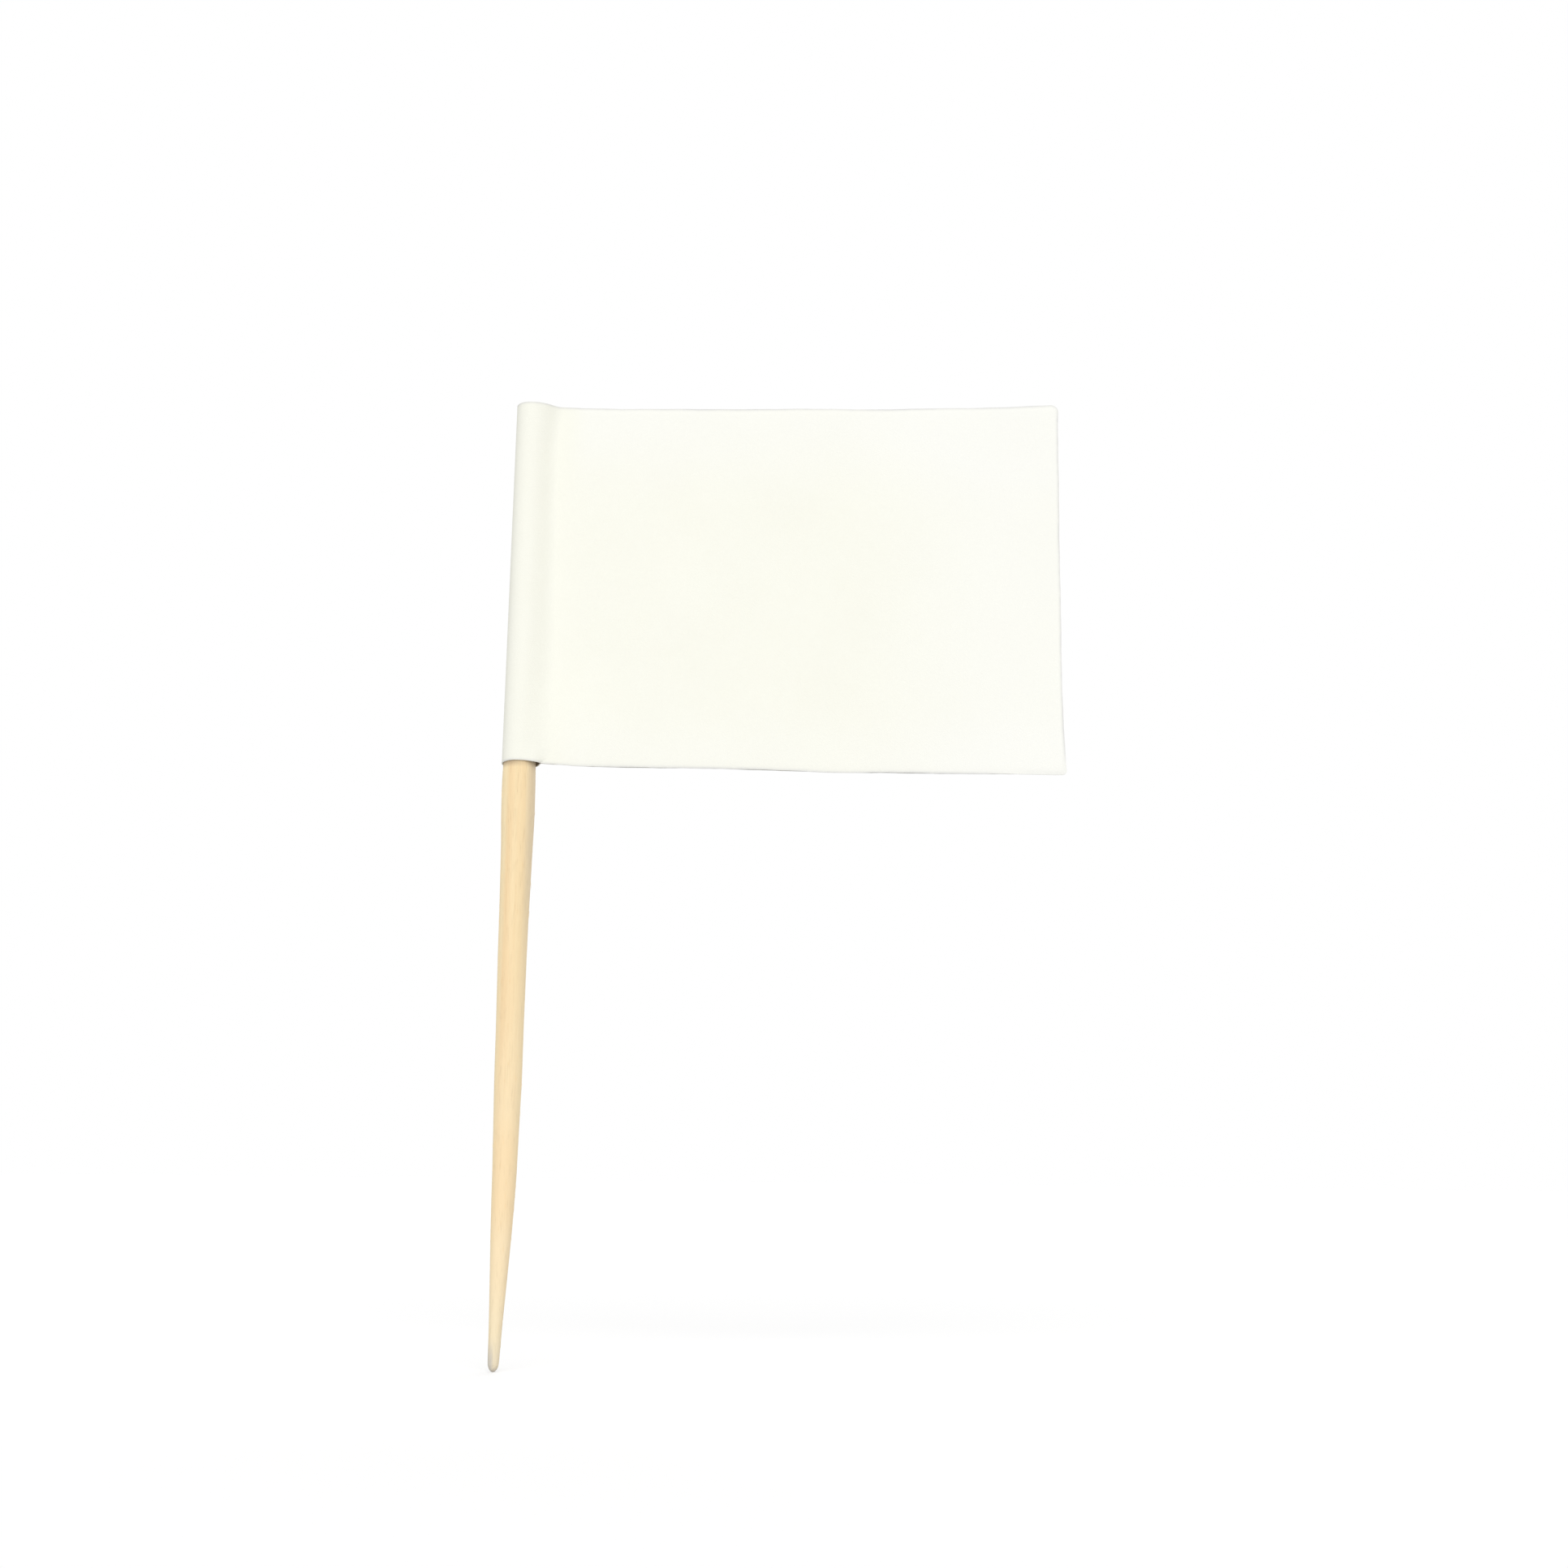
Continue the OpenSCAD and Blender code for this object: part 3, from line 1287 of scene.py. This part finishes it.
    def _ply(
        self, rows: np.ndarray, edge: np.ndarray, radius: np.ndarray, leave: np.ndarray, sign: float
    ) -> list[tuple[np.ndarray, ...]]:
        """Lay out one leaf and the bend beside the pick, from the free edge to the wrap.

        Args:
            rows: shares of the height, 0 at the lower edge.
            edge: the free edge, for each row.
            radius: radius of the wrap, for each row.
            leave: angle at which the paper leaves the wrap, for each row.
            sign: -1 for the front leaf, 1 for the back leaf.

        Returns:
            Place and outward direction of each column.
        """
        z = self.low + rows * self.tall
        rest = sign * (self.glue + self.paper) / 2
        loop = read_profile(self.loop_ends, rows)
        root = np.linspace(0.0, self.root_length, self.root_columns)
        leaf = spaced(root, np.array(self.leaf_steps), self.reach - self.leaf_start, self.leaf_columns)
        columns = []
        for share in leaf[::-1]:
            x = loop + share * (edge - loop)
            columns.append((x, rest + self.forward(x, z), 0.0 * rows, 0.0 * rows + sign))
        start_x, start_y = radius * np.cos(leave), sign * radius * np.sin(leave)
        end_y = rest + self.forward(loop, z)
        pull, close = (read_profile(p, rows) * (loop - start_x) for p in (self.loop_pull, self.loop_close))
        posts = (
            np.stack([loop, end_y]),
            np.stack([loop - close, end_y]),
            np.stack([start_x + pull * np.sin(leave), start_y - sign * pull * np.cos(leave)]),
            np.stack([start_x, start_y]),
        )
        for t in np.linspace(0.0, 1.0, self.bend_columns + 1)[1:]:
            shares = ((1 - t) ** 3, 3 * t * (1 - t) ** 2, 3 * t * t * (1 - t), t**3)
            x, y = sum(w * p for w, p in zip(shares, posts))
            slopes = ((1 - t) ** 2, 2 * t * (1 - t), t * t)
            dx, dy = sum(w * (b - a) for w, a, b in zip(slopes, posts, posts[1:]))
            columns.append((x, y, sign * dy, -sign * dx))
        return columns

    def heights(
        self, x: np.ndarray, y: np.ndarray, rows: np.ndarray, plies: np.ndarray
    ) -> tuple[np.ndarray, np.ndarray]:
        """Give each point's height and its distance from the nearest cut edge.

        Args:
            x: distance from the pick's axis, rows by columns.
            y: depth behind the pick's axis, rows by columns.
            rows: shares of the height.
            plies: ply of each column.

        Returns:
            Heights and edge distances, rows by columns.
        """
        back = plies > 0
        slant = self.slant(x)
        inset = np.max(x, axis=1, keepdims=True) - x
        top = self.high + self.high_rise * slant + self.wander(x, Cut.UPPER)
        top = top + eased_profile(self.top_lifts, x, self.edge_ease) - rounding(self.upper_corner, inset)
        top = top - np.where(back, self.back_top_short * slant, 0.0)
        bottom = self.low - self.low_drop * slant + self.wander(x + self.back_shift * back, Cut.LOWER)
        bottom = bottom - eased_profile(self.low_dips, x, self.edge_ease) + rounding(self.lower_corner, inset)
        bottom = bottom + (self.rim_rise - self.rim_slope * y) * self.rim_round.at(x)
        bottom = bottom + np.where(back, self.back_low_short.at(x), 0.0)
        z = bottom + rows[:, None] * (top - bottom)
        free = np.where(plies != 0, inset, np.inf)
        return z, np.minimum(np.minimum(z - bottom, top - z), free)

    def build(self, paper: Material) -> Piece:
        """Make the folded strip as one closed mesh.

        Args:
            paper: the flag's material.

        Returns:
            The finished piece.
        """
        near = np.array(self.row_steps)
        rows = spaced(near, near, self.tall, int(self.tall / self.row_gap))
        middle, outward, plies = self.section(rows)
        x, y = middle[..., 0], middle[..., 1]
        z, edge = self.heights(x, y, rows, plies)
        step = np.hypot(np.diff(x, axis=1), np.diff(y, axis=1))
        run = np.concatenate([np.zeros((len(rows), 1)), np.cumsum(step, axis=1)], axis=1)
        pressed = (self.glue / 2 - self.press_play) * self.press_edge.at(edge) * self.press_from.at(x)
        y = y - plies * pressed + np.where(x > self.crease, self.wave(x, z), 0.0)
        middle = np.stack([x, y, z], axis=-1)
        shift = np.concatenate([outward, np.zeros((*x.shape, 1))], axis=-1) * self.paper / 2
        piece = slab("paper_flag", middle + shift, middle - shift, paper, self.sharp)
        self.dress(piece, (x, z, edge, run))
        LOG.info("paper strip %.1f mm long, %d corners on each side", self.strip_length, x.size)
        return piece

    def dress(self, piece: Piece, grid: tuple[np.ndarray, ...]) -> None:
        """Give the strip the attributes that its material reads: its place on the strip, and masks for
        painted shade along the cut edges and in the hollow of the fold, and for painted light near the free
        edges.

        Args:
            piece: the strip.
            grid: distance from the axis, height, edge distance and run along the strip, rows by columns.
        """
        x, z, edge, run = grid
        inset, rise = self.reach - x, z - self.low
        strip = np.stack([run, z, np.zeros_like(run)], axis=-1)
        corner = self.corner_up.at(rise)
        # Painted shade along the cut edges, less of it near the lower free corner.
        soft = np.exp(-((edge / self.edge_shade_width) ** 2)) * (1.0 - self.edge_shade_off.at(inset) * corner)
        # Painted shade on a wider band along the lower edge near the free corner.
        corner_band_shade = np.exp(-((edge / self.corner_band_width) ** self.corner_band_power))
        soft = soft + self.corner_band_from.at(inset) * corner * corner_band_shade
        # Painted light near the free, upper and lower edges.
        pale = self.pale_out.at(x) + self.pale_top.at(self.high - z) + self.pale_low.at(rise)
        pale = np.clip(pale, 0.0, 1.0) * self.pale_from.at(x)
        # Painted shade in the hollow of the fold, laid on the inner face only.
        stain = self.stain_from.at(x) * self.stain_to.at(x) * self.stain_up.at(rise)
        layers = (
            ("strip", strip, strip + np.array([0.0, 0.0, self.strip_back])),
            ("cut_edge_shade", soft, soft),
            ("margin", pale, pale),
            ("fold_hollow_shade", np.zeros_like(stain), stain),
        )
        for name, outer, inner in layers:
            set_attribute(piece.data, name, np.concatenate([outer, inner]).reshape(-1, *outer.shape[2:]))


@dataclass
class GlueFilm:
    """Film of dry glue between the leaves, with a wavering edge a little inside theirs."""

    thick: float = 0.034
    inset: float = 0.5
    waver: float = 0.09
    end_waves: Triple = (1.9, 0.7, 1.0)
    low_wave: float = 1.3
    high_wave: float = 1.7
    high_phase: float = 0.5
    corner: float = 1.5
    corner_share: float = 0.6
    columns: int = 90
    rows: int = 60
    sharp: float = 40.0

    def build(self, flag: FoldedFlag, glue: Material) -> Piece:
        """Make the film.

        Args:
            flag: the folded flag that it lies in.
            glue: the film's material.

        Returns:
            The finished piece.
        """
        s, t = np.meshgrid(np.linspace(0.0, 1.0, self.columns), np.linspace(0.0, 1.0, self.rows))
        rise = t * flag.tall
        quick, slow, phase = self.end_waves
        end = flag.reach - self.inset + self.waver * np.sin(rise * quick) * np.sin(rise * slow + phase)
        x = flag.crease + s * (end - flag.crease)
        slant = flag.slant(x)
        low = flag.low - flag.low_drop * slant + self.inset + self.waver * np.sin(x * self.low_wave)
        high = flag.high + flag.high_rise * slant - self.inset
        high = high + self.waver * np.sin(x * self.high_wave + self.high_phase)
        z = low + t * (high - self.corner_share * rounding(self.corner, end - x) - low)
        y = flag.wave(x, z) + flag.forward(x, z)
        back, front = (np.stack([x, y + side * self.thick / 2, z], axis=-1) for side in (1.0, -1.0))
        return slab("glue_film", back, front, glue, self.sharp)


@dataclass
class PhotoCamera:
    """Camera 13 cm in front of the pick, low down and looking up at the flag."""

    place: Triple = (17.936, -130.4, 12.316)
    pitch: float = 11.346
    roll: float = 0.674
    focal_px: float = 2422.6
    frame_px: float = 1932.0
    sensor: float = 36.0
    nearest: float = 5.0
    farthest: float = 50000.0

    def build(self) -> Piece:
        """Make the camera and hand it to the scene.

        Returns:
            The camera object.
        """
        data = bpy.data.cameras.new("photo_camera")
        data.sensor_width = self.sensor
        data.lens = self.sensor * self.focal_px / self.frame_px
        data.clip_start, data.clip_end = self.nearest * MM, self.farthest * MM
        camera = scene_object("photo_camera", data)
        pitch, roll = math.radians(self.pitch), math.radians(self.roll)
        ahead = Vector((0.0, math.cos(pitch), math.sin(pitch)))
        level = ahead.cross(Vector((0.0, 0.0, 1.0))).normalized()
        upright = level.cross(ahead)
        right = level * math.cos(roll) + upright * math.sin(roll)
        up = upright * math.cos(roll) - level * math.sin(roll)
        turn = Matrix((right, up, -ahead)).transposed().to_4x4()
        camera.matrix_world = Matrix.Translation(Vector(self.place) * MM) @ turn
        bpy.context.scene.camera = camera
        return camera


@dataclass
class Studio:
    """White room: pale floor at the level of the tip, even light and two broad soft lamps."""

    ambient: float = 0.655
    front_strength: float = 1.42
    front_from: Triple = (0.02, -0.86, 0.5)
    rear_strength: float = 0.8
    rear_from: Triple = (0.2, 0.86, 0.5)
    lamp_angle: float = 60.0
    floor_grey: float = 0.6
    floor_glow: float = 0.41
    floor_half: float = 6000.0

    @staticmethod
    def _show(bench: Bench, lighting: Socket, shown: Socket, output: str) -> None:
        """Join what lights the object and what the background shows to an output node.

        Args:
            bench: the material's or the world's bench.
            lighting: the shader for rays that light the object.
            shown: the shader for camera, glossy and transmission rays.
            output: class name of the output node.
        """
        rays = bench.add("ShaderNodeLightPath").outputs
        seen = bench.math("MAXIMUM", rays["Is Camera Ray"], rays["Is Glossy Ray"])
        seen = bench.math("MAXIMUM", seen, rays["Is Transmission Ray"])
        mixed = bench.first("ShaderNodeMixShader", {"Fac": seen, "Shader": lighting, "Shader_001": shown})
        bench.add(output, {"Surface": mixed})

    def build_world(self) -> None:
        """Make the even light, with a white backdrop where the camera sees it."""
        world = bpy.data.worlds.new("white_room")
        world.use_nodes = True
        world.node_tree.nodes.clear()
        bpy.context.scene.world = world
        bench = Bench(world.node_tree)
        light, white = (
            bench.first("ShaderNodeBackground", {"Color": WHITE, "Strength": strength})
            for strength in (self.ambient, 1.0)
        )
        self._show(bench, light, white, "ShaderNodeOutputWorld")

    def build_lamp(self, name: str, strength: float, source: Triple) -> None:
        """Make one broad lamp.

        Args:
            name: the lamp's name.
            strength: its light on a surface that faces it.
            source: direction from the object to the lamp.
        """
        data = bpy.data.lights.new(name, "SUN")
        data.energy = strength
        data.angle = math.radians(self.lamp_angle)
        lamp = scene_object(name, data)
        lamp.rotation_mode = "QUATERNION"
        lamp.rotation_quaternion = (-Vector(source)).to_track_quat("-Z", "Y")

    def build_floor(self) -> None:
        """Make the floor, which shows white and keeps the shadow."""
        h = self.floor_half * MM
        corners = np.array([[-h, -h, 0.0], [h, -h, 0.0], [h, h, 0.0], [-h, h, 0.0]])
        floor = mesh_object("pale_floor", corners, [[0, 1, 2, 3]])
        material = bpy.data.materials.new("pale_floor")
        material.use_nodes = True
        material.node_tree.nodes.clear()
        bench = Bench(material.node_tree)
        grey = (self.floor_grey, self.floor_grey, self.floor_grey, 1.0)
        matt = bench.first("ShaderNodeBsdfDiffuse", {"Color": grey})
        glow = bench.first("ShaderNodeEmission", {"Color": WHITE, "Strength": self.floor_glow})
        lit = bench.first("ShaderNodeAddShader", {"Shader": matt, "Shader_001": glow})
        self._show(bench, matt, lit, "ShaderNodeOutputMaterial")
        floor.data.materials.append(material)

    def build(self) -> None:
        """Make the room and set plain colour handling."""
        self.build_world()
        self.build_lamp("front_lamp", self.front_strength, self.front_from)
        self.build_lamp("rear_lamp", self.rear_strength, self.rear_from)
        self.build_floor()
        bpy.context.scene.view_settings.view_transform = "Standard"


def extent_of(node: str, axis: Axis) -> tuple[float, ...]:
    """Give a CAD node's lowest and highest place along an axis, in millimetres."""
    return tuple(round(corner[axis.value] / MM, KEPT_DECIMALS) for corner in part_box(node))


def thickness_of(node: str) -> float:
    """Give a flat CAD node's thickness in millimetres."""
    front, back = extent_of(node, Axis.Y)
    return round(back - front, KEPT_DECIMALS)


def main() -> None:
    """Build the camera, the room and the pieces, join the pick and its fibres to the pick's body, and hide
    the CAD parts that the pieces stand in for.
    """
    logging.basicConfig(level=logging.INFO, format="%(name)s: %(message)s")
    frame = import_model()
    PhotoCamera().build()
    Studio().build()

    flag_low, flag_high = extent_of("paper_sleeve", Axis.Z)
    pick_top = extent_of("wooden_pick", Axis.Z)[1]
    joints = frame["record"]["behaviour"]["joints"]
    crease = next(joint["pos_m"][0] for joint in joints if joint["name"] == "flag_flex") / MM

    effects = Effects()
    wood = WoodFinish(pick_top, flag_low).make(effects)
    paper = PaperFinish().make(effects)
    glue = GlueFinish().make(effects)

    pick = Pick(pick_top).build(wood)
    fibres = Splinters().build(pick, wood)
    flag = FoldedFlag(
        low=flag_low,
        high=flag_high,
        crease=crease,
        solid_reach=extent_of("front_leaf", Axis.X)[1],
        paper=thickness_of("front_leaf"),
        glue=thickness_of("leaf_glue"),
    )
    strip = flag.build(paper)
    film = GlueFilm().build(flag, glue)

    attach(pick, Body.PICK.value)
    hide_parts("wooden_pick")
    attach(fibres, Body.PICK.value)
    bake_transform(strip)
    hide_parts("paper_sleeve", "front_leaf", "back_leaf")
    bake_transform(film)
    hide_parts("leaf_glue")
    flat = (flag.strip_length * MM, (flag.high - flag.low) * MM)

    for piece in (pick, fibres, strip, film):
        LOG.info("%s: %d faces", piece.name, len(piece.data.polygons))


if __name__ == "__main__":
    main()
